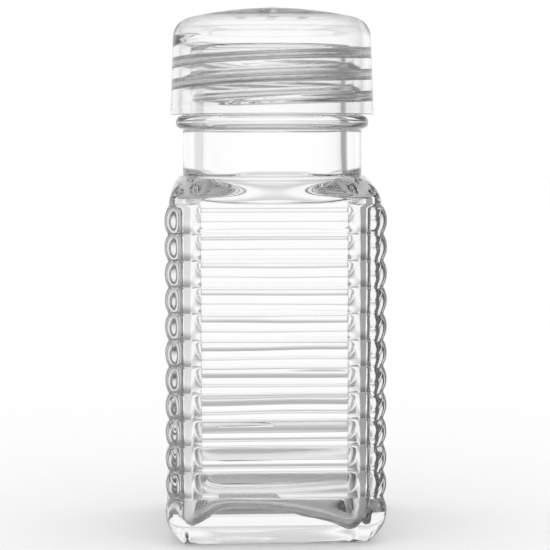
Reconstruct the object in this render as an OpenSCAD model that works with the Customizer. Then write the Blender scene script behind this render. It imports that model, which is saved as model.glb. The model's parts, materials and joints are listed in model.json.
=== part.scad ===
// Salt shaker: a square ribbed glass jar with a screw neck, a clear screw cap
// with pour holes, and a thin liner ring trapped under the top of the cap.
// Millimetres, +Z up. The origin is the middle of the base, on the table.

/* [Jar body] */
// Width across the crests of the ribs
body_w = 39.8; // [37:0.2:60]
// Corner radius of the body, at the crests of the ribs
body_corner_r = 3.6; // [3.5:0.1:8]
// Number of ribs round the body
rib_count = 11; // [6:1:16]
// Height of one rib
rib_pitch = 4.72; // [3.6:0.02:6]
// How far a rib stands out from its grooves
rib_depth = 0.55; // [0.3:0.05:0.8]
// Height of the plain base under the ribs
base_h = 8.65; // [6:0.05:14]
// Width of the bevel round the foot
bevel_w = 2.4; // [0.5:0.1:2.6]
// Height of the bevel round the foot
bevel_h = 3; // [0.5:0.1:4]
// Depth of the shallow hollow under the base
underside_depth = 0.6; // [0.3:0.1:1.5]
// Radius of the shallow hollow under the base
underside_r = 13; // [8:0.5:15]

/* [Jar inside] */
// Glass wall at the grooves between the ribs
wall_t = 2.1; // [1.5:0.1:4]
// Radius of the corners and edges of the inside
inside_r = 4; // [2.5:0.1:7]
// Thickness of the glass floor, at its corners
floor_t = 3.4; // [3:0.1:10]
// Rise of the domed floor from its corners to its middle
floor_rise = 3.7; // [2:0.1:4.5]
// Glass over the inside, at the shoulder
shoulder_t = 3.2; // [2:0.1:6]

/* [Shoulder and neck] */
// Height of the shoulder over the ribs
shoulder_h = 4.7; // [4:0.1:10]
// How far the shoulder stands back from the rib crests
shoulder_inset = 0.85; // [0.85:0.05:1.5]
// Corner radius of the shoulder, seen from above
shoulder_corner_r = 5.5; // [4.5:0.1:9]
// Rounding of the top edge of the shoulder
shoulder_round = 3.6; // [2:0.1:3.9]
// Outer radius of the plain neck
neck_r = 16.65; // [16.2:0.05:17.2]
// Height of the plain neck, shoulder to middle of the bead
neck_h = 10.4; // [6:0.1:20]
// Radius of the half-round bead that stops the cap
bead_r = 1.3; // [1:0.1:1.8]
// Radius of the bore through the neck
bore_r = 12.9; // [9:0.1:13.6]

/* [Screw finish] */
// Outer radius of the threaded glass wall
finish_r = 15.2; // [14.8:0.1:15.8]
// Height of the threaded wall, middle of the bead to lip
finish_h = 13.9; // [12.5:0.1:18]
// Rounding of the lip
lip_r = 0.8; // [0.3:0.1:0.9]
// Rise of the thread in one turn
thread_pitch = 3.95; // [3.8:0.05:5]
// How far a thread stands out of its wall
thread_depth = 1.25; // [0.8:0.05:1.5]
// Width of a thread at its root
thread_root_w = 1.1; // [0.9:0.05:1.6]
// Width of a thread at its crest
thread_crest_w = 0.5; // [0.3:0.05:0.8]
// Turns of thread on the jar
jar_thread_turns = 1.75; // [1:0.25:1.75]

/* [Cap] */
// Wall of the cap, at the edge of the skirt
cap_wall = 2.1; // [1.4:0.1:4]
// How much the cap narrows towards its top, on the radius
cap_taper = 0.5; // [0:0.05:0.8]
// Room between the lip of the jar and the ceiling of the cap
head_room = 3.3; // [2.5:0.1:9]
// Thickness of the top of the cap, at its middle
top_t = 3.9; // [3:0.1:7]
// Rounding of the top edge of the cap
cap_round = 3.8; // [2:0.1:5]
// Rise of the domed top over the start of its rounding
crown = 1.6; // [0.8:0.1:2.5]
// Height of the cap's thread over the edge of its skirt, at the lower end
cap_thread_start = 1.6; // [1.5:0.1:4]
// Bevel inside the edge of the skirt
skirt_bevel = 0.6; // [0.2:0.1:1.2]
// Diameter of a pour hole
hole_d = 2; // [1:0.1:3]
// Radius of the ring of pour holes
hole_ring_r = 6.6; // [4:0.1:10]
// Number of pour holes round the middle one
hole_count = 6; // [3:1:8]

/* [Liner ring] */
// Thickness of the liner ring
liner_t = 0.9; // [0.5:0.1:1.2]
// Width of the liner ring, inner to outer edge
liner_w = 3.2; // [2:0.1:5]

/* [Fit] */
// Clearance between the two threads and the walls that they run along
thread_gap = 0.35; // [0.2:0.05:0.6]
// Clearance between the flanks of the two threads
flank_gap = 0.2; // [0.1:0.05:0.5]
// Gap between the bead and the edge of the closed cap
seat_gap = 0.3; // [0.1:0.05:0.6]
// Clearance round the liner ring
liner_gap = 0.25; // [0.1:0.05:0.4]

/* [Hidden] */
$fn = 64;
// How far one solid runs into the next where they are joined
sink = 0.4;
// Reach of a cutter past the face that it opens
past = 1;
// Steps in one turn of thread, and the turn over which its ends fade out
steps_per_turn = 36;
fade_turn = 0.09;
// Angle from +X at which both threads start
thread_start_a = 240;

// Levels from the table up
ribs_top = base_h + rib_count * rib_pitch;
shoulder_top = ribs_top + shoulder_h;
bead_z = shoulder_top + neck_h;
lip_z = bead_z + finish_h;
cap_edge_z = bead_z + bead_r + seat_gap;
ceiling_z = lip_z + head_room;
apex_z = ceiling_z + top_t;
liner_top = ceiling_z - liner_gap;
liner_bottom = liner_top - liner_t;

// Half widths and radii
crest_hw = body_w / 2;
groove_hw = crest_hw - rib_depth;
shoulder_hw = crest_hw - shoulder_inset;
inside_hw = groove_hw - wall_t;
cap_inner_r = finish_r + thread_depth + thread_gap;
cap_edge_r = cap_inner_r + cap_wall;
cap_top_r = cap_edge_r - cap_taper;
liner_r = cap_inner_r - liner_gap;

// The cap's thread climbs until it is just under the liner ring. The jar's
// thread lies right above it, flank by flank, and so holds the cap down.
cap_thread_z = cap_edge_z + cap_thread_start;
cap_thread_end = liner_bottom - liner_gap - thread_root_w / 2;
cap_thread_turns = (cap_thread_end - cap_thread_z) / thread_pitch;
jar_thread_z = cap_thread_z + (thread_root_w + thread_crest_w) / 2 + flank_gap;

// Radius of a circle whose cap is so wide, on the half chord, and so high
function arc_r(half_chord, rise) = (half_chord * half_chord + rise * rise) / (2 * rise);

// Share of the full thread depth at turn t of a thread that is n turns long
function fade(t, n) = max(0, min(1, t / fade_turn, (n - t) / fade_turn));

// Radius of a thread's crest. Its ends, where grow is 0, are sunk in the wall.
function crest_r(wall_r, side, grow) =
    wall_r + side * (grow * (thread_depth + sink / 2) - sink / 2);

// Four corners of a thread's section, as radius and height. side is 1 for a
// thread that stands outwards from its wall and -1 for one that stands inwards.
function section(wall_r, side, grow, z) = [
    [wall_r - side * sink, z - thread_root_w / 2],
    [crest_r(wall_r, side, grow), z - thread_crest_w / 2],
    [crest_r(wall_r, side, grow), z + thread_crest_w / 2],
    [wall_r - side * sink, z + thread_root_w / 2]
];

// Right-handed thread of n turns that starts at height z0
module thread(wall_r, side, z0, n) {
    steps = ceil(n * steps_per_turn);
    points = [
        for (i = [0 : steps])
            let (t = n * i / steps, a = 360 * t + thread_start_a)
                for (p = section(wall_r, side, fade(t, n), z0 + thread_pitch * t))
                    [p[0] * cos(a), p[0] * sin(a), p[1]]
    ];
    walls = [
        for (i = [0 : steps - 1], k = [0 : 3])
            let (a = 4 * i + k, b = 4 * i + (k + 1) % 4)
                each [[a, b, b + 4], [a, b + 4, a + 4]]
    ];
    last = 4 * steps;
    ends = [[0, 2, 1], [0, 3, 2], [last, last + 1, last + 2], [last, last + 2, last + 3]];
    faces = concat(walls, ends);
    polyhedron(points, side > 0 ? faces : [for (f = faces) [f[2], f[1], f[0]]]);
}

// Block with a rounded square plan. Its side profile, the child, is drawn from
// the centre of the corner radius outwards and runs from height z0 to z1.
module square_block(hw, corner_r, z0, z1) {
    c = hw - corner_r;
    translate([-c, -c, z0]) cube([2 * c, 2 * c, z1 - z0]);
    for (a = [0 : 90 : 270]) rotate(a) {
        translate([c, c, 0]) rotate([90, 0, 0]) linear_extrude(2 * c) children();
        translate([c, c, 0]) rotate_extrude(angle = 90) children();
    }
}

// Side of one convex rib, of height h over level z
module rib_side(z, h) {
    r = arc_r(h / 2, rib_depth);
    intersection() {
        translate([body_corner_r - r, z + h / 2]) circle(r);
        translate([0, z]) square([body_corner_r, h]);
    }
}

// Side of the body: bevelled foot, plain base, then the ribs
module body_side() {
    groove_r = body_corner_r - rib_depth;
    polygon([[0, 0], [groove_r - bevel_w, 0], [groove_r, bevel_h], [0, bevel_h]]);
    rib_side(bevel_h, base_h - bevel_h);
    for (i = [0 : rib_count - 1]) rib_side(base_h + i * rib_pitch, rib_pitch);
}

// Side of the shoulder, from inside the top rib to its rounded top edge
module shoulder_side() {
    flat_r = shoulder_corner_r - shoulder_round;
    low = ribs_top - past;
    round_z = shoulder_top - shoulder_round;
    translate([0, low]) square([shoulder_corner_r, round_z - low]);
    translate([0, round_z]) square([flat_r, shoulder_round]);
    translate([flat_r, round_z]) intersection() {
        circle(shoulder_round);
        square(shoulder_round);
    }
}

// Side of the inside, rounded at the floor and under the shoulder
module inside_side() {
    top = shoulder_top - shoulder_t;
    intersection() {
        translate([0, floor_t]) square([inside_r, top - floor_t]);
        union() {
            translate([0, floor_t + inside_r]) circle(inside_r);
            translate([0, top - inside_r]) circle(inside_r);
            translate([0, floor_t + inside_r]) square([inside_r, top - floor_t - 2 * inside_r]);
        }
    }
}

// Half section of the neck: plain wall, bead, threaded wall and rounded lip
module neck_half() {
    low = shoulder_top - shoulder_round / 2;
    translate([0, low]) square([neck_r, bead_z - low]);
    translate([neck_r, bead_z]) circle(bead_r);
    translate([0, bead_z]) square([neck_r, bead_r]);
    translate([0, bead_z]) square([finish_r, finish_h - lip_r]);
    translate([0, bead_z]) square([finish_r - lip_r, finish_h]);
    translate([finish_r - lip_r, lip_z - lip_r]) circle(lip_r);
}

// Hollow of the jar, with its raised floor and the bore through the neck
module jar_hollow() {
    corner_reach = (inside_hw - inside_r) * sqrt(2) + inside_r;
    ball_r = arc_r(corner_reach, floor_rise);
    difference() {
        square_block(inside_hw, inside_r, floor_t, shoulder_top - shoulder_t) inside_side();
        translate([0, 0, floor_t + floor_rise - ball_r]) sphere(ball_r);
    }
    bore_z = shoulder_top - shoulder_t - inside_r;
    translate([0, 0, bore_z]) cylinder(h = lip_z + past - bore_z, r = bore_r);
}

// Glass jar in one piece, from the foot to the lip
module jar() {
    under_r = arc_r(underside_r, underside_depth);
    color([0.85, 0.9, 0.9, 0.5]) difference() {
        union() {
            square_block(crest_hw, body_corner_r, 0, ribs_top) body_side();
            square_block(shoulder_hw, shoulder_corner_r, ribs_top - past, shoulder_top) shoulder_side();
            rotate_extrude() neck_half();
            thread(finish_r, 1, jar_thread_z, jar_thread_turns);
        }
        jar_hollow();
        translate([0, 0, underside_depth - under_r]) sphere(under_r);
    }
}

// Half section of the cap's outside: tapered skirt, rounded edge, domed top
module cap_outside_half() {
    round_x = cap_top_r - cap_round;
    dome_r = arc_r(round_x, crown);
    dome_z = apex_z - dome_r;
    round_z = dome_z + sqrt(pow(dome_r - cap_round, 2) - round_x * round_x);
    // The dome is cut along the line where it meets the rounded edge
    lean = atan2(round_x, round_z - dome_z);
    over = 2 * cap_round;
    polygon([[0, cap_edge_z], [cap_edge_r, cap_edge_z], [cap_top_r, round_z], [0, round_z]]);
    translate([round_x, round_z]) circle(cap_round);
    intersection() {
        translate([0, dome_z]) circle(dome_r, $fn = 360);
        polygon([
            [0, round_z],
            [round_x, round_z],
            [round_x + over * sin(lean), round_z + over * cos(lean)],
            [0, apex_z + over]
        ]);
    }
}

// Half section of the cap's inside, with the bevel at the edge of the skirt
module cap_inside_half() {
    polygon([
        [0, cap_edge_z - past],
        [cap_inner_r + skirt_bevel + past, cap_edge_z - past],
        [cap_inner_r, cap_edge_z + skirt_bevel],
        [cap_inner_r, ceiling_z],
        [0, ceiling_z]
    ]);
}

// Screw cap in one piece, with its thread and pour holes
module cap() {
    color([0.93, 0.95, 0.95, 0.4]) difference() {
        union() {
            rotate_extrude() difference() {
                cap_outside_half();
                cap_inside_half();
            }
            thread(cap_inner_r, -1, cap_thread_z, cap_thread_turns);
        }
        pour_hole(0, 0);
        for (i = [0 : hole_count - 1]) pour_hole(hole_ring_r, i * 360 / hole_count + 90);
    }
}

// One pour hole, at radius r and angle a
module pour_hole(r, a) {
    rotate(a) translate([r, 0, ceiling_z - past]) cylinder(h = top_t + 2 * past, d = hole_d);
}

// Thin soft ring, held between the ceiling and the upper end of the cap's thread
module liner_ring() {
    color([0.95, 0.96, 0.96, 0.6]) difference() {
        translate([0, 0, liner_bottom]) cylinder(h = liner_t, r = liner_r);
        translate([0, 0, liner_bottom - past]) cylinder(h = liner_t + 2 * past, r = liner_r - liner_w);
    }
}

jar();
cap();
liner_ring();
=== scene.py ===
"""Salt shaker: a ribbed glass jar, its clear screw cap and liner ring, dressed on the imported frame."""

import json
import logging
import math
from dataclasses import dataclass
from enum import Enum
from typing import Any, Union

import bpy
import numpy as np
from mathutils import Matrix, Vector


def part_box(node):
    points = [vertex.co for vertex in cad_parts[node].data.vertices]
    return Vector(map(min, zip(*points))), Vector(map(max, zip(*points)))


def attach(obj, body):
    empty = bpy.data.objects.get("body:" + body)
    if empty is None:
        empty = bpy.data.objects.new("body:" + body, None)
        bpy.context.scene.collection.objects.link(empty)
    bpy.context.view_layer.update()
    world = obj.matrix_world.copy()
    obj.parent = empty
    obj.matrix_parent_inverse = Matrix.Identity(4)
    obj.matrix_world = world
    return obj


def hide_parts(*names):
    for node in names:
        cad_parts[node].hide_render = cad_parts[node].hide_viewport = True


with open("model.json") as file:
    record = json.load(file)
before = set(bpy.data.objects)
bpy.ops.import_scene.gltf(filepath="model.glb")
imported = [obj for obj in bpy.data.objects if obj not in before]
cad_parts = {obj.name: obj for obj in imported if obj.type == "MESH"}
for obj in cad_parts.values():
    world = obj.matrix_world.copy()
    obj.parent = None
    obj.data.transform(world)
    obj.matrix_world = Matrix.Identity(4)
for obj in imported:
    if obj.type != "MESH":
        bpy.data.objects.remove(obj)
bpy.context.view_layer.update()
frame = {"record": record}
LOG = logging.getLogger("salt_shaker")
MM = 0.001
THREAD_MARK = "thread"

Sizes = Union[float, np.ndarray]
Edge = tuple[float, float]


# Surfaces

def ring_angles(count: int, crowd: float = 0.0) -> np.ndarray:
    """Angles of the columns round the axis, crowded towards the four corners.

    With p running evenly from 0 to a full turn, the angle is p + crowd / 4 * sin(4 p): its steps are
    widest in the middle of each face and narrowest at the corners.

    Args:
        count: number of columns.
        crowd: 0 for even steps, towards 1 for steps that almost vanish at the corners.

    Returns:
        The angles in radians, one per column.
    """
    even = np.linspace(0.0, 2.0 * np.pi, count, endpoint=False)
    return even + crowd / 4.0 * np.sin(4.0 * even)


def smooth(share: np.ndarray) -> np.ndarray:
    """Smooth step of shares s from 0 to 1: s * s * (3 - 2 s)."""
    return share * share * (3.0 - 2.0 * share)


def column(values: Any) -> np.ndarray:
    """The values as a column, so that they broadcast along the rings."""
    return np.asarray(values, dtype=float)[:, None]


def square_reach(half_width: Sizes, corner: Sizes, angles: np.ndarray) -> np.ndarray:
    """Distance from the axis to a rounded square, along each angle.

    A ray meets either a flat side, at half_width over the larger direction share, or the corner arc,
    found by solving the quadratic of a ray and a circle. A corner as large as the half width is a circle.

    Args:
        half_width: half the width over the flats, one number or a column of them.
        corner: corner radius, one number or a column of them.
        angles: directions of the rays, in radians.

    Returns:
        Distances, of shape (rows, columns) where columns of sizes are given.
    """
    shares = np.abs(np.stack([np.cos(angles), np.sin(angles)]))
    far, near = shares.max(axis=0), shares.min(axis=0)
    centre = half_width - corner
    side = half_width / far
    along = centre * (far + near)
    bend = along + np.sqrt(np.maximum(along**2 - (2.0 * centre**2 - corner**2), 0.0))
    return np.where(side * near <= centre, side, bend)


def square_inset(points: np.ndarray, half_width: float, corner: float) -> np.ndarray:
    """How deep each point lies inside a rounded square, measured square to its nearest edge.

    It is the negative of the signed distance: corner - |max(q, 0)| - min(max(q), 0), where q is the
    point's offset past the centre of the corner arc.

    Args:
        points: array whose last axis starts with x and y.
        half_width: half the width over the flats.
        corner: corner radius.

    Returns:
        Depths, with the shape of points without its last axis.
    """
    past = np.abs(points[..., :2]) - (half_width - corner)
    outside = np.linalg.norm(np.maximum(past, 0.0), axis=-1)
    inside = np.minimum(past.max(axis=-1), 0.0)
    return corner - outside - inside


def sweep(reach: Sizes, height: Sizes, angles: np.ndarray) -> np.ndarray:
    """Rings of points round the axis: x and y are reach times cosine and sine, z is height.

    Args:
        reach: distances from the axis, which broadcast to (rows, columns).
        height: heights, which broadcast to the same shape.
        angles: angle of each column.

    Returns:
        Points of shape (rows, columns, 3).
    """
    reach, height, turn = np.broadcast_arrays(reach, height, angles[None, :])
    return np.stack([reach * np.cos(turn), reach * np.sin(turn), height], axis=-1)


def spin(outline: np.ndarray, angles: np.ndarray) -> np.ndarray:
    """Rings of an outline of points (radius, height) that turns round the axis."""
    return sweep(outline[:, :1], outline[:, 1:], angles)


def arc(centre: tuple[float, float], radius: Any, start: float, stop: float, count: int) -> np.ndarray:
    """Points on an arc or an upright ellipse: centre + radius * (cos a, sin a).

    Args:
        centre: centre in the plane of the outline.
        radius: radius, or the pair of half axes.
        start: first angle in degrees.
        stop: last angle in degrees.
        count: number of points.

    Returns:
        Points of shape (count, 2).
    """
    turn = np.radians(np.linspace(start, stop, count))
    return np.asarray(centre) + np.asarray(radius) * np.stack([np.cos(turn), np.sin(turn)], axis=-1)


def path_length(outline: np.ndarray) -> np.ndarray:
    """Length along an outline from its first point to each of its points."""
    steps = np.linalg.norm(np.diff(outline, axis=0), axis=1)
    return np.concatenate([[0.0], np.cumsum(steps)])


def soften(outline: np.ndarray, width: float, step: float = 0.02 * MM) -> np.ndarray:
    """Round every corner of an outline by a running mean of its points.

    The outline is cut into even steps, continued straight past both ends, and each point becomes the
    mean of its neighbours within the width.

    Args:
        outline: points of shape (n, 2).
        width: length of outline that the mean takes in.
        step: length of an even step.

    Returns:
        The rounded outline, with the same ends.
    """
    length = path_length(outline)
    even = np.arange(0.0, length[-1], step)
    points = np.stack([np.interp(even, length, outline[:, k]) for k in (0, 1)], axis=-1)
    half = max(1, round(width / step / 2.0))
    ahead = np.arange(half, 0, -1)[:, None]
    before = points[0] - ahead * (points[1] - points[0])
    after = points[-1] + ahead[::-1] * (points[-1] - points[-2])
    padded = np.concatenate([before, points, after])
    total = np.cumsum(np.concatenate([np.zeros((1, 2)), padded]), axis=0)
    span = 2 * half + 1
    return (total[span:] - total[:-span]) / span


def spread(outline: np.ndarray, count: int, turn_length: float) -> np.ndarray:
    """Pick points along an outline, closer together where it turns.

    They are even in a measure that adds to the length turn_length for every radian of turning.

    Args:
        outline: points of shape (n, 2), in small steps.
        count: number of points to pick.
        turn_length: length that a radian of turning counts for.

    Returns:
        Points of shape (count, 2), with both ends.
    """
    heading = np.unwrap(np.arctan2(*np.diff(outline, axis=0).T[::-1]))
    turning = np.concatenate([[0.0], np.cumsum(np.abs(np.diff(heading))), [0.0]])
    turning[-1] = turning[-2]
    measure = path_length(outline) + turn_length * turning
    picks = np.linspace(0.0, measure[-1], count)
    return np.stack([np.interp(picks, measure, outline[:, k]) for k in (0, 1)], axis=-1)


# Meshes

def tube_faces(rows: int, columns: int, closed: bool) -> list[list[int]]:
    """Four-sided faces of a grid of rings, turning outwards where the rows climb an outer wall.

    Args:
        rows: number of rings.
        columns: points in a ring.
        closed: True to join the last ring to the first.

    Returns:
        Lists of four point indices.
    """
    row = np.arange(rows if closed else rows - 1)[:, None]
    col = np.arange(columns)[None, :]
    above, beside = (row + 1) % rows, (col + 1) % columns
    quads = [row * columns + col, row * columns + beside, above * columns + beside, above * columns + col]
    return np.stack(quads, axis=-1).reshape(-1, 4).tolist()


def solid_object(name: str, points: np.ndarray, faces: list[list[int]]) -> bpy.types.Object:
    """A smooth-shaded mesh object at the origin, linked into the scene.

    Args:
        name: name of the piece.
        points: points of shape (n, 3), in metres.
        faces: lists of point indices.

    Returns:
        The new object.
    """
    mesh = bpy.data.meshes.new(name)
    mesh.from_pydata(points, [], faces)
    mesh.polygons.foreach_set("use_smooth", np.ones(len(mesh.polygons), dtype=bool))
    mesh.update()
    piece = bpy.data.objects.new(name, mesh)
    bpy.context.collection.objects.link(piece)
    return piece


def capped_object(name: str, rings: np.ndarray, first: np.ndarray, last: np.ndarray) -> bpy.types.Object:
    """A closed surface from rings, with a single point at each end.

    Args:
        name: name of the piece.
        rings: points of shape (rows, columns, 3).
        first: the point that closes the first ring.
        last: the point that closes the last ring.

    Returns:
        The new object.
    """
    rows, columns = rings.shape[:2]
    points = np.concatenate([rings.reshape(-1, 3), [first, last]])
    low, high = rows * columns, rows * columns + 1
    here = np.arange(columns)
    beside = (here + 1) % columns
    final = (rows - 1) * columns
    first_fan = np.stack([np.full(columns, low), beside, here], axis=-1)
    last_fan = np.stack([np.full(columns, high), final + here, final + beside], axis=-1)
    faces = tube_faces(rows, columns, closed=False) + first_fan.tolist() + last_fan.tolist()
    return solid_object(name, points, faces)


def on_axis(height: float) -> np.ndarray:
    """The point of the axis at a height."""
    return np.array([0.0, 0.0, height])


def mesh_points(piece: bpy.types.Object) -> np.ndarray:
    """Points of a piece's mesh, as an array of shape (n, 3)."""
    flat = np.empty(3 * len(piece.data.vertices), dtype=np.float32)
    piece.data.vertices.foreach_get("co", flat)
    return flat.reshape(-1, 3)


def mark_thread(piece: bpy.types.Object, shares: np.ndarray) -> None:
    """Write down how far each point stands on the thread, for the finish to read.

    Args:
        piece: the piece to mark.
        shares: 0 on plain walls to 1 on the crest of the thread, one for each point.
    """
    layer = piece.data.attributes.new(THREAD_MARK, "FLOAT", "POINT")
    layer.data.foreach_set("value", np.clip(shares, 0.0, 1.0).astype(np.float32))


# Shaders

class Operation(Enum):
    """What a Math node or a Vector Math node does with its inputs."""

    ADD = "ADD"
    SUBTRACT = "SUBTRACT"
    MULTIPLY = "MULTIPLY"
    POWER = "POWER"
    MAXIMUM = "MAXIMUM"
    ABSOLUTE = "ABSOLUTE"
    GREATER_THAN = "GREATER_THAN"
    NORMALIZE = "NORMALIZE"
    LENGTH = "LENGTH"


class Value:
    """A number on a shader socket. Arithmetic on it adds Math nodes to its graph."""

    def __init__(self, graph: "Graph", socket: bpy.types.NodeSocket) -> None:
        """Keep the graph and the output socket that carries the number."""
        self.graph = graph
        self.socket = socket

    def __add__(self, other: "Term") -> "Value":
        """This value plus another."""
        return self.graph.math(Operation.ADD, self, other)

    __radd__ = __add__

    def __sub__(self, other: "Term") -> "Value":
        """This value less another."""
        return self.graph.math(Operation.SUBTRACT, self, other)

    def __rsub__(self, other: "Term") -> "Value":
        """Another value less this one."""
        return self.graph.math(Operation.SUBTRACT, other, self)

    def __mul__(self, other: "Term") -> "Value":
        """This value times another."""
        return self.graph.math(Operation.MULTIPLY, self, other)

    __rmul__ = __mul__

    def __rpow__(self, base: float) -> "Value":
        """A base to the power of this value."""
        return self.graph.math(Operation.POWER, base, self)

    def __abs__(self) -> "Value":
        """This value without its sign."""
        return self.graph.math(Operation.ABSOLUTE, self)

    def at_least(self, other: "Term") -> "Value":
        """The larger of this value and another."""
        return self.graph.math(Operation.MAXIMUM, self, other)

    def above(self, limit: float) -> "Value":
        """1 where this value is over the limit, and 0 elsewhere."""
        return self.graph.math(Operation.GREATER_THAN, self, limit)

    def any(self) -> "Value":
        """1 where this count is at least one, and 0 elsewhere."""
        return self.above(0.5)

    def step(self, edge: Edge) -> "Value":
        """A smooth step, 0 up to the edge's first value and 1 from its second on.

        Args:
            edge: the two values.

        Returns:
            The step.
        """
        low, high = edge
        inputs = {"Value": self, "From Min": low, "From Max": high}
        node = self.graph.add("ShaderNodeMapRange", {"interpolation_type": "SMOOTHSTEP"}, inputs)
        return Value(self.graph, node.outputs[0])


Term = Union[Value, bpy.types.NodeSocket, float]


class Graph:
    """The nodes of one material or world."""

    def __init__(self, tree: bpy.types.NodeTree) -> None:
        """Start from an empty tree."""
        self.tree = tree
        tree.nodes.clear()

    def add(
        self, kind: str, settings: dict[str, Any] | None = None, inputs: dict[Any, Any] | None = None
    ) -> bpy.types.Node:
        """Add a node.

        Args:
            kind: the node's type.
            settings: attributes of the node, which are set first.
            inputs: for each input, by name or number, a constant, a value or an output socket.

        Returns:
            The new node.
        """
        node = self.tree.nodes.new(kind)
        for name, setting in (settings or {}).items():
            setattr(node, name, setting)
        for name, source in (inputs or {}).items():
            socket = source.socket if isinstance(source, Value) else source
            if isinstance(socket, bpy.types.NodeSocket):
                self.tree.links.new(socket, node.inputs[name])
            else:
                node.inputs[name].default_value = socket
        return node

    def math(self, operation: Operation, *terms: Term) -> Value:
        """The result of a Math node.

        Args:
            operation: what the node does.
            terms: its inputs in order.

        Returns:
            The node's output.
        """
        node = self.add("ShaderNodeMath", {"operation": operation.value}, dict(enumerate(terms)))
        return Value(self, node.outputs[0])

    def vector(self, operation: Operation, *terms: Any) -> bpy.types.Node:
        """A Vector Math node that takes the terms in order."""
        return self.add("ShaderNodeVectorMath", {"operation": operation.value}, dict(enumerate(terms)))

    def share(self, vector: bpy.types.NodeSocket, axis: str) -> Value:
        """A vector's share along an axis, X, Y or Z."""
        return Value(self, self.add("ShaderNodeSeparateXYZ", None, {0: vector}).outputs[axis])

    def noise(self, size: float, detail: float) -> Value:
        """Soft noise over the piece, from 0 to 1.

        Args:
            size: width of one patch, in metres.
            detail: number of finer layers.

        Returns:
            The noise.
        """
        place = self.add("ShaderNodeTexCoord").outputs["Object"]
        inputs = {"Vector": place, "Scale": 1.0 / size, "Detail": detail}
        node = self.add("ShaderNodeTexNoise", None, inputs)
        return Value(self, node.outputs[0])


@dataclass(frozen=True)
class ClearFinish:
    """A clear, see-through solid with a slightly uneven polished surface.

    Tint, gloss and alpha are shares of full strength, refraction is the index, wave sizes are lengths,
    and absorption is per metre. On a thread the roughness rises, and the tint darkens as painted shade
    that stands in for the grey bands refraction shows there. A piece without a thread has no painted
    thread shade.
    """

    name: str
    tint: float
    refraction: float
    gloss: float
    roughness: float
    roughness_spread: float
    wave_size: float
    wave_depth: float
    absorption: float
    # Painted shade: base colour on the thread's crest, darker than the tint, standing in for refraction's
    # grey bands.
    painted_thread_shade: float | None = None
    thread_roughness: float = 0.0
    thread_edge: Edge = (0.05, 0.6)
    alpha: float = 1.0
    patch_waves: float = 4.0
    patch_detail: float = 2.0
    wave_detail: float = 1.0

    def material(self) -> bpy.types.Material:
        """The finish as a material: patchy gloss, a gentle surface wave, even absorption and painted shade
        on a thread.

        Returns:
            The new material.
        """
        material = bpy.data.materials.new(self.name)
        material.use_nodes = True
        graph = Graph(material.node_tree)
        patches = graph.noise(self.patch_waves * self.wave_size, self.patch_detail)
        wave = graph.noise(self.wave_size, self.wave_detail)
        bump = graph.add("ShaderNodeBump", None, {
            "Strength": 1.0,
            "Distance": self.wave_depth,
            "Height": wave,
        })
        colour: Any = (self.tint, self.tint, self.tint, 1.0)
        roughness = self.roughness + self.roughness_spread * patches
        if self.painted_thread_shade is not None:
            mark = graph.add("ShaderNodeAttribute", {"attribute_name": THREAD_MARK})
            thread = Value(graph, mark.outputs["Fac"]).step(self.thread_edge)
            # Painted shade: the thread is coloured darker to stand in for the grey bands that refraction
            # shows there; the added roughness is real.
            colour = self.tint - (self.tint - self.painted_thread_shade) * thread
            roughness = roughness + self.thread_roughness * thread
        shader = graph.add("ShaderNodeBsdfPrincipled", None, {
            "Base Color": colour,
            "Roughness": roughness,
            "IOR": self.refraction,
            "Transmission Weight": 1.0,
            "Alpha": self.alpha,
            "Specular Tint": (self.gloss, self.gloss, self.gloss, 1.0),
            "Normal": bump.outputs["Normal"],
        })
        inside = graph.add("ShaderNodeVolumeAbsorption", None, {
            "Color": (0.0, 0.0, 0.0, 1.0),
            "Density": self.absorption,
        })
        graph.add("ShaderNodeOutputMaterial", None, {
            "Surface": shader.outputs["BSDF"],
            "Volume": inside.outputs["Volume"],
        })
        return material


# The thread values of the jar's glass and the cap's plastic are painted shade on their threads.
JAR_GLASS = ClearFinish(
    name="jar_glass", tint=1.0, refraction=1.52, gloss=0.3, roughness=0.0, roughness_spread=0.01,
    wave_size=6.0 * MM, wave_depth=0.01 * MM, absorption=1.5, painted_thread_shade=0.8, thread_roughness=0.22,
)
CAP_PLASTIC = ClearFinish(
    name="cap_plastic", tint=1.0, refraction=1.49, gloss=0.3, roughness=0.0, roughness_spread=0.015,
    wave_size=5.0 * MM, wave_depth=0.006 * MM, absorption=12.0, painted_thread_shade=0.75, thread_roughness=0.22,
)
LINER_SOFT = ClearFinish(
    name="liner_soft", tint=1.0, refraction=1.4, gloss=0.2, roughness=0.02, roughness_spread=0.03,
    wave_size=3.0 * MM, wave_depth=0.004 * MM, absorption=0.0, alpha=0.15,
)


# Pieces

@dataclass(frozen=True)
class Thread:
    """A right-handed thread. It rises as far in a turn as the cap does on its joints."""

    pitch: float = 2.0 * math.pi * frame["record"]["behaviour"]["couplings"][0]["ratio"]
    depth: float = 1.25 * MM
    root_width: float = 1.9 * MM
    start_angle: float = math.radians(190.0)
    fade_in: float = 0.15
    fade_out: float = 0.4

    def ridge(self, heights: np.ndarray, angles: np.ndarray, start: float, turns: float) -> np.ndarray:
        """How far the thread stands out of its wall at each point of a grid.

        At turn t the ridge's middle lies at start + pitch * t. With u the distance from the middle over
        half the root width, its section is the square of cos(u * pi / 2), and its ends fade in and out
        over a share of a turn.

        Args:
            heights: column of heights.
            angles: angle of each column of the grid.
            start: height of the ridge's middle at its lower end.
            turns: number of turns.

        Returns:
            Ridge heights of shape (rows, columns).
        """
        first = ((angles - self.start_angle) / (2.0 * np.pi)) % 1.0
        turn = first[None, None, :] + np.arange(math.ceil(turns) + 1)[:, None, None]
        off = np.abs(heights[None] - start - self.pitch * turn) / (self.root_width / 2.0)
        flank = np.cos(np.minimum(off, 1.0) * np.pi / 2.0) ** 2
        end = np.clip(np.minimum(turn / self.fade_in, (turns - turn) / self.fade_out), 0.0, 1.0)
        return self.depth * (flank * smooth(end)).max(axis=0)


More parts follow.
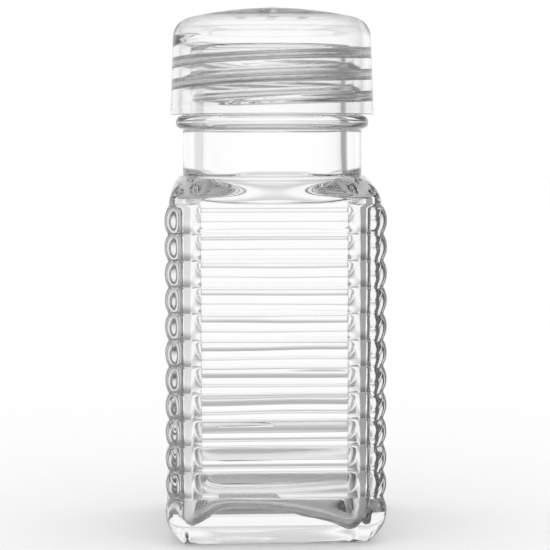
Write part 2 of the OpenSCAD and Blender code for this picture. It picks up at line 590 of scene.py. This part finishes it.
@dataclass(frozen=True)
class Ripple:
    """A shallow unevenness of a wall: two waves round the axis that slant against each other."""

    depth: float
    length: float
    turns: tuple[int, int]
    second: float
    second_rate: float

    def at(self, height: np.ndarray, angles: np.ndarray, share: np.ndarray) -> np.ndarray:
        """The unevenness at each point of a grid.

        With p the height over the length, it is depth * (sin(n a + p) + second * sin(m a - rate * p)) at
        angle a, where n and m are the turns. It fades out at both ends of the wall with the square of
        sin(pi * share).

        Args:
            height: heights, which broadcast to (rows, columns).
            angles: angle of each column.
            share: place between the ends of the wall, from 0 to 1, for each row.

        Returns:
            Lengths of shape (rows, columns).
        """
        rise = height / self.length
        first, other = self.turns
        wave = np.sin(first * angles + rise)
        wave = wave + self.second * np.sin(other * angles - self.second_rate * rise)
        return self.depth * wave * np.sin(np.pi * share) ** 2


@dataclass
class Jar:
    """The pressed glass jar, as one closed surface from the middle of its foot to its floor."""

    # Outside of the body
    half_width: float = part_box("jar")[1].x
    corner: float = 3.6 * MM
    rib_count: int = 11
    rib_pitch: float = 4.72 * MM
    rib_depth: float = 0.7 * MM
    groove_width: float = 0.8 * MM
    sway: Ripple = Ripple(depth=0.06 * MM, length=7.0 * MM, turns=(2, 5), second=0.5, second_rate=1.0)
    # Base and foot
    base_height: float = 8.65 * MM
    bevel_width: float = 2.4 * MM
    bevel_height: float = 3.0 * MM
    foot_edge: float = 2.2 * MM
    flat_start: float = 0.1 * MM
    flat_corner: float = 0.2 * MM
    hollow_radius: float = 13.0 * MM
    hollow_depth: float = 0.6 * MM
    # Shoulder, neck and screw finish
    shoulder_height: float = 4.7 * MM
    shoulder_inset: float = 0.85 * MM
    shoulder_corner: float = 5.5 * MM
    shoulder_low: float = 61.0 * MM
    shoulder_high: float = 66.0 * MM
    neck_radius: float = 16.65 * MM
    neck_height: float = 10.43 * MM
    bead_radius: float = 1.3 * MM
    edge: float = 0.5 * MM
    lead: float = 0.5 * MM
    finish_start: float = 0.6 * MM
    finish_radius: float = 15.2 * MM
    finish_height: float = 13.9 * MM
    lip_height: float = 1.2 * MM
    thread: Thread = Thread()
    thread_start: float = 79.72 * MM
    thread_turns: float = 1.9
    # Hollow
    bore_radius: float = 12.9 * MM
    flare_top: float = 67.5 * MM
    flare_bottom: float = 60.5 * MM
    flare_corner_top: float = 66.0 * MM
    flare_corner_bottom: float = 61.5 * MM
    inside_half: float = 16.8 * MM
    inside_corner: float = 4.4 * MM
    wave: Ripple = Ripple(depth=0.04 * MM, length=2.6 * MM, turns=(2, 3), second=-0.6, second_rate=1.6)
    floor: float = 3.4 * MM
    floor_rise: float = 3.7 * MM
    floor_shift: float = 8.0 * MM
    floor_left: float = 8.0 * MM
    floor_right: float = 26.0 * MM
    # Grid
    columns: int = 200
    crowd: float = 0.6
    turn_length: float = 1.5 * MM
    arc_points: int = 60
    dish_rows: int = 12
    flat_rows: int = 5
    side_rows: int = 172
    shoulder_rows: int = 32
    neck_rows: int = 42
    finish_rows: int = 86
    lip_rows: int = 18
    bore_rows: int = 8
    flare_rows: int = 44
    wall_rows: int = 50
    floor_rows: int = 34

    def __post_init__(self) -> None:
        """Work out the levels, from the table up, the columns and the plan of the hollow."""
        self.ribs_top = self.base_height + self.rib_count * self.rib_pitch
        self.bead_z = self.ribs_top + self.shoulder_height + self.neck_height
        self.lip_z = self.bead_z + self.finish_height
        self.groove = self.corner - self.rib_depth
        self.centre = self.half_width - self.corner
        self.angles = ring_angles(self.columns, self.crowd)
        self.plan = square_reach(self.inside_half, self.inside_corner, self.angles)[None, :]

    def foot(self) -> np.ndarray:
        """Rings under the base: a shallow dish and the flat round it.

        At share w of its radius the dish is depth * (1 - w * w) high. The flat goes straight from its
        round rim to the square of the corner centres.

        Returns:
            Points of shape (rows, columns, 3).
        """
        share = column(np.linspace(0.0, 1.0, self.dish_rows + 1)[1:])
        dish = sweep(self.hollow_radius * share, self.hollow_depth * (1.0 - share**2), self.angles)
        rim = square_reach(self.centre, self.flat_corner, self.angles)[None, :]
        share = column(np.linspace(0.0, 1.0, self.flat_rows + 1)[1:])
        flat = sweep(self.hollow_radius + (rim - self.hollow_radius) * share, 0.0, self.angles)
        return np.concatenate([dish, flat])

    def rib_side(self, low: float, height: float) -> np.ndarray:
        """One convex rib, a circular arc that stands out by the rib depth.

        Args:
            low: height of its lower groove.
            height: height of the rib.

        Returns:
            Points (distance past the corner centre, height) of shape (n, 2).
        """
        radius = ((height / 2.0) ** 2 + self.rib_depth**2) / (2.0 * self.rib_depth)
        z = np.linspace(-height / 2.0, height / 2.0, self.arc_points)
        return np.stack([self.corner - radius + np.sqrt(radius**2 - z**2), low + height / 2.0 + z], axis=-1)

    def body(self) -> np.ndarray:
        """Rings of the bevel, the plain base and the ribs.

        A side outline is carried round a rounded square, and the ribs sway up and down a little.

        Returns:
            Points of shape (rows, columns, 3).
        """
        bevel = np.array([[self.flat_start, 0.0], [self.groove - self.bevel_width, 0.0]])
        base = self.rib_side(self.bevel_height, self.base_height - self.bevel_height)
        lows = self.base_height + np.arange(self.rib_count) * self.rib_pitch
        ribs = [self.rib_side(low, self.rib_pitch) for low in lows]
        half = len(base) // 2
        foot = soften(np.concatenate([bevel, base[:half]]), self.foot_edge)
        wall = soften(np.concatenate([base[half:], *ribs]), self.groove_width)
        side = spread(np.concatenate([foot, wall]), self.side_rows, self.turn_length)
        past, height = side[:, :1], side[:, 1:]
        share = np.clip((height - self.base_height) / (self.ribs_top - self.base_height), 0.0, 1.0)
        height = height + self.sway.at(height, self.angles, share)
        return sweep(square_reach(self.centre + past, past, self.angles), height, self.angles)

    def shoulder(self) -> np.ndarray:
        """Rings of the shoulder, a quarter of an ellipse from its side to the foot of the neck.

        With a turning from 0 to a quarter, the height climbs with sin a, and the reach goes from the
        rounded square of the shoulder to the round neck with 1 - cos a.

        Returns:
            Points of shape (rows, columns, 3).
        """
        half = self.half_width - self.shoulder_inset
        plan = square_reach(half, self.shoulder_corner, self.angles)[None, :]
        turn = column(np.linspace(0.0, np.pi / 2.0, self.shoulder_rows))
        height = self.shoulder_low + (self.shoulder_high - self.shoulder_low) * np.sin(turn)
        return sweep(plan + (self.neck_radius - plan) * (1.0 - np.cos(turn)), height, self.angles)

    def neck(self) -> np.ndarray:
        """Rings of the plain neck and its half-round bead, up to the step under the threaded wall.

        Returns:
            Points of shape (rows, columns, 3).
        """
        bead = arc((self.neck_radius, self.bead_z), self.bead_radius, -90.0, 90.0, self.arc_points)
        top = bead[-1, 1]
        outline = np.concatenate([
            [[self.neck_radius, self.shoulder_high + self.lead]],
            bead,
            [[self.finish_radius, top], [self.finish_radius, top + self.lead]],
        ])
        return spin(spread(soften(outline, self.edge), self.neck_rows, self.turn_length), self.angles)

    def finish(self) -> np.ndarray:
        """Rings of the threaded wall, the half-round lip and the bore below it.

        Returns:
            Points of shape (rows, columns, 3).
        """
        low = self.bead_z + self.bead_radius + self.finish_start
        lip_start = self.lip_z - self.lip_height
        heights = column(np.linspace(low, lip_start, self.finish_rows))
        ridge = self.thread.ridge(heights, self.angles, self.thread_start, self.thread_turns)
        wall = sweep(self.finish_radius + ridge, heights, self.angles)
        half = (self.finish_radius - self.bore_radius) / 2.0
        middle = (self.bore_radius + half, lip_start)
        lip = arc(middle, (half, self.lip_height), 0.0, 180.0, self.lip_rows)[1:]
        bore = column(np.linspace(lip_start, self.flare_top, self.bore_rows)[1:-1])
        return np.concatenate([wall, spin(lip, self.angles), sweep(self.bore_radius, bore, self.angles)])

    def inside(self) -> np.ndarray:
        """Rings of the hollow, from the foot of the bore down to where the wall turns to the floor.

        Under the neck the round bore widens to the rounded square as a smooth step of the height, which
        starts higher and ends lower in the middle of each face than at the corners. The wall below is
        slightly wavy.

        Returns:
            Points of shape (rows, columns, 3).
        """
        cornering = (self.plan - self.inside_half) / (self.plan.max() - self.inside_half)
        top = self.flare_top + (self.flare_corner_top - self.flare_top) * cornering
        bottom = self.flare_bottom + (self.flare_corner_bottom - self.flare_bottom) * cornering
        share = column(np.linspace(0.0, 1.0, self.flare_rows))
        reach = self.bore_radius + (self.plan - self.bore_radius) * smooth(share)
        flare = sweep(reach, top + (bottom - top) * share, self.angles)
        share = column(np.linspace(0.0, 1.0, self.wall_rows)[1:-1])
        height = bottom + (self.floor + self.inside_corner - bottom) * share
        reach = self.plan - self.wave.at(height, self.angles, share)
        return np.concatenate([flare, sweep(reach, height, self.angles)])

    def inside_floor(self) -> np.ndarray:
        """Rings of the floor of the hollow, from its rounded edge to its middle.

        At inset d from the wall's plan, up to the corner radius R, the floor lies
        sqrt(R * R - (R - d) ** 2) below the level where the wall starts to turn. A dome is added that
        falls off with the square of the distance from its peak. The peak lies left of the middle, and the
        dome falls off faster to the left of it.

        Returns:
            Points of shape (rows, columns, 3).
        """
        radius = self.inside_corner
        share = column(1.0 - np.linspace(0.0, 1.0, self.floor_rows)[:-1] ** 2)
        rings = sweep(self.plan * share, self.floor + radius, self.angles)
        across = rings[..., 0] + self.floor_shift
        across = across / np.where(across < 0.0, self.floor_left, self.floor_right)
        away = np.hypot(across, rings[..., 1] / self.plan.max())
        inset = np.clip(square_inset(rings, self.inside_half, radius), 0.0, radius)
        drop = np.sqrt(radius**2 - (radius - inset) ** 2)
        rings[..., 2] += self.floor_rise * (1.0 - away**2) - drop
        return rings

    def build(self) -> bpy.types.Object:
        """Build the jar and mark its thread.

        Returns:
            The jar's object.
        """
        rings = np.concatenate([
            self.foot(), self.body(), self.shoulder(), self.neck(), self.finish(), self.inside(),
            self.inside_floor(),
        ])
        jar = capped_object("glass_jar", rings, on_axis(self.hollow_depth), on_axis(rings[-1, :, 2].mean()))
        points = mesh_points(jar)
        ridge = np.hypot(points[:, 0], points[:, 1]) - self.finish_radius
        over_bead = points[:, 2] > self.bead_z + self.bead_radius
        mark_thread(jar, np.where(over_bead, ridge / self.thread.depth, 0.0))
        return jar

    def dress(self, jar: bpy.types.Object, finish: ClearFinish) -> None:
        """Give the jar its glass and put it in the place of its solid.

        Args:
            jar: the jar's object.
            finish: the glass.
        """
        jar.data.materials.append(finish.material())
        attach(jar, "jar_body")
        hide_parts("jar")


@dataclass
class Cap:
    """The clear screw cap, with its inside thread and its pour holes."""

    # Skirt and dome
    edge_z: float = 77.1 * MM
    edge_radius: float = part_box("cap")[1].x
    apex_z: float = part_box("cap")[1].z
    taper: float = 0.5 * MM
    rounding: float = 3.8 * MM
    crown: float = 1.6 * MM
    skirt_bevel: float = 0.2 * MM
    edge: float = 0.45 * MM
    # Inside
    ceiling_z: float = 94.4 * MM
    inner_radius: float = 16.8 * MM
    inner_rounding: float = 2.6 * MM
    lead: float = 0.4 * MM
    wall_top: float = 0.5 * MM
    wall_bottom: float = 0.75 * MM
    thread: Thread = Thread(fade_in=0.65)
    thread_start: float = 1.62 * MM
    thread_turns: float = 3.12
    # Pour holes
    hole_radius: float = 1.0 * MM
    hole_flare: float = 0.12 * MM
    hole_ring: float = 6.6 * MM
    hole_count: int = 6
    hole_start: float = 90.0
    sharp_angle: float = 35.0
    # Grid
    columns: int = 200
    outside_rows: int = 96
    outside_turn: float = 3.0 * MM
    roof_rows: int = 50
    roof_turn: float = 1.5 * MM
    wall_rows: int = 130
    rounding_points: int = 60
    dome_points: int = 80
    inner_points: int = 40
    hole_columns: int = 48
    hole_rows: int = 24
    hole_turn: float = 1.0 * MM

    def __post_init__(self) -> None:
        """Work out the angles of the columns."""
        self.angles = ring_angles(self.columns)

    def outside(self) -> np.ndarray:
        """Rings from the skirt's edge up its tapered side and over the rounded edge to the dome's middle.

        The dome is a circle through the crown's rise, and the rounded edge is a circle that touches it
        from within and ends upright on the side.

        Returns:
            Points of shape (rows, columns, 3).
        """
        round_x = self.edge_radius - self.taper - self.rounding
        dome = (round_x**2 + self.crown**2) / (2.0 * self.crown)
        dome_z = self.apex_z - dome
        round_z = dome_z + math.sqrt((dome - self.rounding) ** 2 - round_x**2)
        lean = math.degrees(math.atan2(round_z - dome_z, round_x))
        outline = np.concatenate([
            [[self.inner_radius, self.edge_z + self.skirt_bevel],
             [self.inner_radius + self.skirt_bevel, self.edge_z],
             [self.edge_radius, self.edge_z]],
            arc((round_x, round_z), self.rounding, 0.0, lean, self.rounding_points),
            arc((0.0, dome_z), dome, lean, 90.0, self.dome_points)[1:],
        ])
        side = spread(soften(outline, self.edge), self.outside_rows, self.outside_turn)
        return spin(side[:-1], self.angles)

    def inside(self) -> np.ndarray:
        """Rings from the ceiling's middle out to its corner and down the threaded wall.

        Returns:
            Points of shape (rows, columns, 3).
        """
        turn = self.inner_rounding
        low = self.ceiling_z - turn
        corner = np.concatenate([
            [[self.lead, self.ceiling_z]],
            arc((self.inner_radius - turn, low), turn, 90.0, 0.0, self.inner_points),
            [[self.inner_radius, low - self.lead]],
        ])
        roof = spread(soften(corner, self.edge), self.roof_rows, self.roof_turn)
        heights = column(np.linspace(low - self.wall_top, self.edge_z + self.wall_bottom, self.wall_rows))
        start = self.edge_z + self.thread_start
        ridge = self.thread.ridge(heights, self.angles, start, self.thread_turns)
        wall = sweep(self.inner_radius - ridge, heights, self.angles)
        return np.concatenate([spin(roof, self.angles), wall])

    def hole_cutter(self) -> bpy.types.Object:
        """One round cutter for each pour hole, flared a little where it leaves the plastic.

        The outline is the hole's radius between the ceiling and the dome. At both ends it widens and runs
        on past the plastic, by points given in units of the flare. One hole is in the middle, and the
        others are on a ring round it.

        Returns:
            The cutters as one object.
        """
        low = np.array([self.hole_radius, self.ceiling_z])
        high = np.array([self.hole_radius, self.apex_z])
        low_end = self.hole_flare * np.array([[5.0, -4.0], [1.0, 0.0], [0.0, 2.0]])
        high_end = self.hole_flare * np.array([[0.0, -3.0], [1.0, -0.6], [5.0, 4.0]])
        outline = np.concatenate([low + low_end, high + high_end])
        side = spread(soften(outline, 2.0 * self.hole_flare), self.hole_rows, self.hole_turn)
        rings = spin(side, ring_angles(self.hole_columns))
        turns = np.radians(self.hole_start + np.arange(self.hole_count) * 360.0 / self.hole_count)
        around = self.hole_ring * np.stack([np.cos(turns), np.sin(turns), np.zeros_like(turns)], axis=-1)
        first, last = on_axis(side[0, 1]), on_axis(side[-1, 1])
        cutters = [
            capped_object("cutter", rings + spot, first + spot, last + spot)
            for spot in np.concatenate([np.zeros((1, 3)), around])
        ]
        with bpy.context.temp_override(active_object=cutters[0], selected_editable_objects=cutters):
            bpy.ops.object.join()
        return cutters[0]

    def build(self) -> bpy.types.Object:
        """Build the cap, cut its holes and mark its thread.

        Returns:
            The cap's object.
        """
        rings = np.concatenate([self.inside(), self.outside()])
        cap = capped_object("screw_cap", rings, on_axis(self.ceiling_z), on_axis(self.apex_z))
        cutter = self.hole_cutter()
        cut = cap.modifiers.new("pour_holes", "BOOLEAN")
        cut.operation = "DIFFERENCE"
        cut.solver = "EXACT"
        cut.object = cutter
        whole = cap.evaluated_get(bpy.context.evaluated_depsgraph_get())
        solid = bpy.data.meshes.new_from_object(whole)
        cap.modifiers.clear()
        cap.data = solid
        bpy.data.objects.remove(cutter)
        solid.set_sharp_from_angle(angle=math.radians(self.sharp_angle))
        points = mesh_points(cap)
        ridge = self.inner_radius - np.hypot(points[:, 0], points[:, 1])
        under_roof = points[:, 2] < self.ceiling_z - self.inner_rounding
        mark_thread(cap, np.where(under_roof, ridge / self.thread.depth, 0.0))
        return cap

    def dress(self, cap: bpy.types.Object, finish: ClearFinish) -> None:
        """Give the cap its plastic and put it in the place of its solid.

        Args:
            cap: the cap's object.
            finish: the clear plastic.
        """
        cap.data.materials.clear()
        cap.data.materials.append(finish.material())
        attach(cap, "cap_body")
        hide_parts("cap")


@dataclass
class LinerRing:
    """The thin soft ring under the top of the cap."""

    outer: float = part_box("liner_ring")[1].x
    low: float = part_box("liner_ring")[0].z
    high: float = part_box("liner_ring")[1].z
    width: float = 3.2 * MM
    rounding: float = 0.3 * MM
    columns: int = 160
    corner_points: int = 6

    def build(self) -> bpy.types.Object:
        """Carry a rectangle with rounded corners round the axis.

        Returns:
            The ring's object.
        """
        left, right = self.outer - self.width + self.rounding, self.outer - self.rounding
        bottom, top = self.low + self.rounding, self.high - self.rounding
        corners = [(right, bottom), (right, top), (left, top), (left, bottom)]
        section = np.concatenate([
            arc(corner, self.rounding, 90.0 * k - 90.0, 90.0 * k, self.corner_points)
            for k, corner in enumerate(corners)
        ])
        rings = spin(section, ring_angles(self.columns))
        faces = tube_faces(len(section), self.columns, closed=True)
        return solid_object("liner_ring_soft", rings.reshape(-1, 3), faces)

    def dress(self, ring: bpy.types.Object, finish: ClearFinish) -> None:
        """Give the ring its soft plastic and put it in the place of its solid.

        Args:
            ring: the ring's object.
            finish: the clear soft plastic.
        """
        ring.data.materials.append(finish.material())
        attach(ring, "liner")
        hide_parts("liner_ring")


# Studio

@dataclass
class Studio:
    """White surroundings, a pale floor and the camera.

    Brightness is a share of white. An edge is the pair of values between which a smooth step runs: upward
    shares of a direction for the surroundings, and distances from the shaker for the floor's painted
    shadow.
    """

    # Light
    light: float = 1.03
    bounces: int = 32
    glossy_bounces: int = 24
    # Ceiling, as light that only passed through the glass shows it
    low_ceiling: float = 0.68
    low_edge: Edge = (0.08, 0.2)
    lamp_edge: Edge = (0.22, 0.3)
    over: float = 0.3
    over_edge: Edge = (0.38, 0.6)
    # Walls, as light that was thrown back inside the glass shows them
    once_left: float = 0.75
    once_right: float = 0.37
    often_left: float = 0.15
    often_right: float = 0.85
    often_throws: float = 2.5
    side_edge: Edge = (-0.3, 0.3)
    panel_turn: float = 0.12
    panel_edge: Edge = (0.7, 0.82)
    keep: float = 0.93
    steep: float = 0.45
    steep_edge: Edge = (0.03, 0.3)
    # Floor, with a painted shadow round the shaker that only the glass shows
    floor_half: float = 3.0
    floor_drop: float = 0.05 * MM
    floor_colour: float = 0.97
    # Painted shadow: the floor is coloured grey in a ring round the shaker, shown only in the glass.
    ring: float = 0.5
    painted_shadow_inner: Edge = (0.03, 0.06)
    painted_shadow_outer: Edge = (0.07, 0.15)
    # Camera
    azimuth: float = -2.2
    distance: float = 334.0 * MM
    eye_height: float = 72.8 * MM
    aim_height: float = 47.23 * MM
    aim_right: float = 0.5 * MM
    roll: float = 0.1
    focal_pixels: float = 1788.0
    image_width: float = 550.0
    sensor: float = 36.0
    clip_start: float = 0.01

    def seen_in_glass(self, graph: Graph, towards: bpy.types.NodeSocket, open_view: Value) -> Value:
        """How bright the room is to the ray at hand: 1 unless the ray comes out of clear material.

        Light that only passed through shows the open view. Light that was thrown back inside shows the
        room's walls, white in front and behind and grey to the sides. It loses a share each further time,
        and is darker the more steeply it leaves upwards.

        Args:
            graph: nodes to add to.
            towards: socket with the direction, or the place, that the ray meets.
            open_view: brightness for light that only passed through.

        Returns:
            The brightness.
        """
        path = graph.add("ShaderNodeLightPath").outputs
        clear = Value(graph, path["Is Transmission Ray"]).at_least(path["Is Glossy Ray"])
        clear = clear * (1.0 - Value(graph, path["Diffuse Depth"]).any())
        throws = Value(graph, path["Glossy Depth"])
        level = graph.vector(Operation.MULTIPLY, towards, (1.0, 1.0, 0.0)).outputs["Vector"]
        level = graph.vector(Operation.NORMALIZE, level).outputs["Vector"]
        across, along = graph.share(level, "X"), graph.share(level, "Y")
        often = throws.above(self.often_throws)
        left = self.once_left + (self.often_left - self.once_left) * often
        right = self.once_right + (self.often_right - self.once_right) * often
        sides = left + (right - left) * across.step(self.side_edge)
        panel = (self.panel_turn * across + abs(along)).step(self.panel_edge)
        walls = sides + (1.0 - sides) * panel
        walls = walls * self.keep ** (throws - 1.0).at_least(0.0)
        walls = walls * (1.0 - (1.0 - self.steep) * graph.share(towards, "Z").step(self.steep_edge))
        seen = open_view + throws.any() * (walls - open_view)
        return 1.0 - clear * (1.0 - seen)

    def surroundings(self) -> None:
        """A white room. In the glass its ceiling shows grey, with a white strip between its two edges."""
        world = bpy.data.worlds.new("white_room")
        world.use_nodes = True
        graph = Graph(world.node_tree)
        towards = graph.add("ShaderNodeTexCoord").outputs["Generated"]
        up = graph.share(towards, "Z")
        low = up.step(self.low_edge) - up.step(self.lamp_edge)
        ceiling = 1.0 - (1.0 - self.low_ceiling) * low - (1.0 - self.over) * up.step(self.over_edge)
        background = graph.add("ShaderNodeBackground", None, {
            "Color": (1.0, 1.0, 1.0, 1.0),
            "Strength": self.light * self.seen_in_glass(graph, towards, ceiling),
        })
        graph.add("ShaderNodeOutputWorld", None, {"Surface": background.outputs[0]})
        bpy.context.scene.world = world

    def floor(self) -> None:
        """The pale floor that the shaker stands on. Its colour carries painted shade that only the glass
        shows: a painted shadow in a ring round the shaker, and grey for light thrown back inside the glass.
        """
        signs = np.array([[-1.0, -1.0], [1.0, -1.0], [1.0, 1.0], [-1.0, 1.0]])
        corners = np.column_stack([self.floor_half * signs, np.full(len(signs), -self.floor_drop)])
        floor = solid_object("pale_floor", corners, [list(range(len(corners)))])
        material = bpy.data.materials.new("pale_floor")
        material.use_nodes = True
        graph = Graph(material.node_tree)
        place = graph.add("ShaderNodeTexCoord").outputs["Object"]
        away = Value(graph, graph.vector(Operation.LENGTH, place).outputs["Value"])
        # Painted shadow: the floor's colour is greyed in a ring round the shaker, for light that reaches it
        # through the glass.
        ring = away.step(self.painted_shadow_inner) - away.step(self.painted_shadow_outer)
        open_view = 1.0 - (1.0 - self.ring) * ring
        # Painted shade: the floor's colour is also greyed for light thrown back inside the glass.
        shader = graph.add("ShaderNodeBsdfDiffuse", None, {
            "Color": self.floor_colour * self.seen_in_glass(graph, place, open_view),
        })
        graph.add("ShaderNodeOutputMaterial", None, {"Surface": shader.outputs[0]})
        floor.data.materials.append(material)

    def camera(self) -> None:
        """The camera, at the photograph's height, distance and turn."""
        turn = math.radians(self.azimuth)
        right = Vector((math.cos(turn), math.sin(turn), 0.0))
        eye = Vector((math.sin(turn), -math.cos(turn), 0.0)) * self.distance
        eye.z = self.eye_height
        aim = right * self.aim_right
        aim.z = self.aim_height
        data = bpy.data.cameras.new("camera")
        data.sensor_width = self.sensor
        data.lens = self.sensor * self.focal_pixels / self.image_width
        data.clip_start = self.clip_start
        camera = bpy.data.objects.new("camera", data)
        facing = (aim - eye).to_track_quat("-Z", "Y").to_matrix().to_4x4()
        tilt = Matrix.Rotation(math.radians(-self.roll), 4, "Z")
        camera.matrix_world = Matrix.Translation(eye) @ facing @ tilt
        bpy.context.collection.objects.link(camera)
        bpy.context.scene.camera = camera

    def build(self) -> None:
        """Set up the light, the floor and the camera."""
        scene = bpy.context.scene
        scene.view_settings.view_transform = "Standard"
        scene.cycles.max_bounces = self.bounces
        scene.cycles.transmission_bounces = self.bounces
        scene.cycles.glossy_bounces = self.glossy_bounces
        self.surroundings()
        self.floor()
        self.camera()


def main() -> None:
    """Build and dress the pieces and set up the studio."""
    logging.basicConfig(level=logging.INFO, format="%(name)s: %(message)s")
    for part, finish in ((Jar(), JAR_GLASS), (Cap(), CAP_PLASTIC), (LinerRing(), LINER_SOFT)):
        piece = part.build()
        part.dress(piece, finish)
        LOG.info("%s: %d faces", piece.name, len(piece.data.polygons))
    Studio().build()


if __name__ == "__main__":
    main()
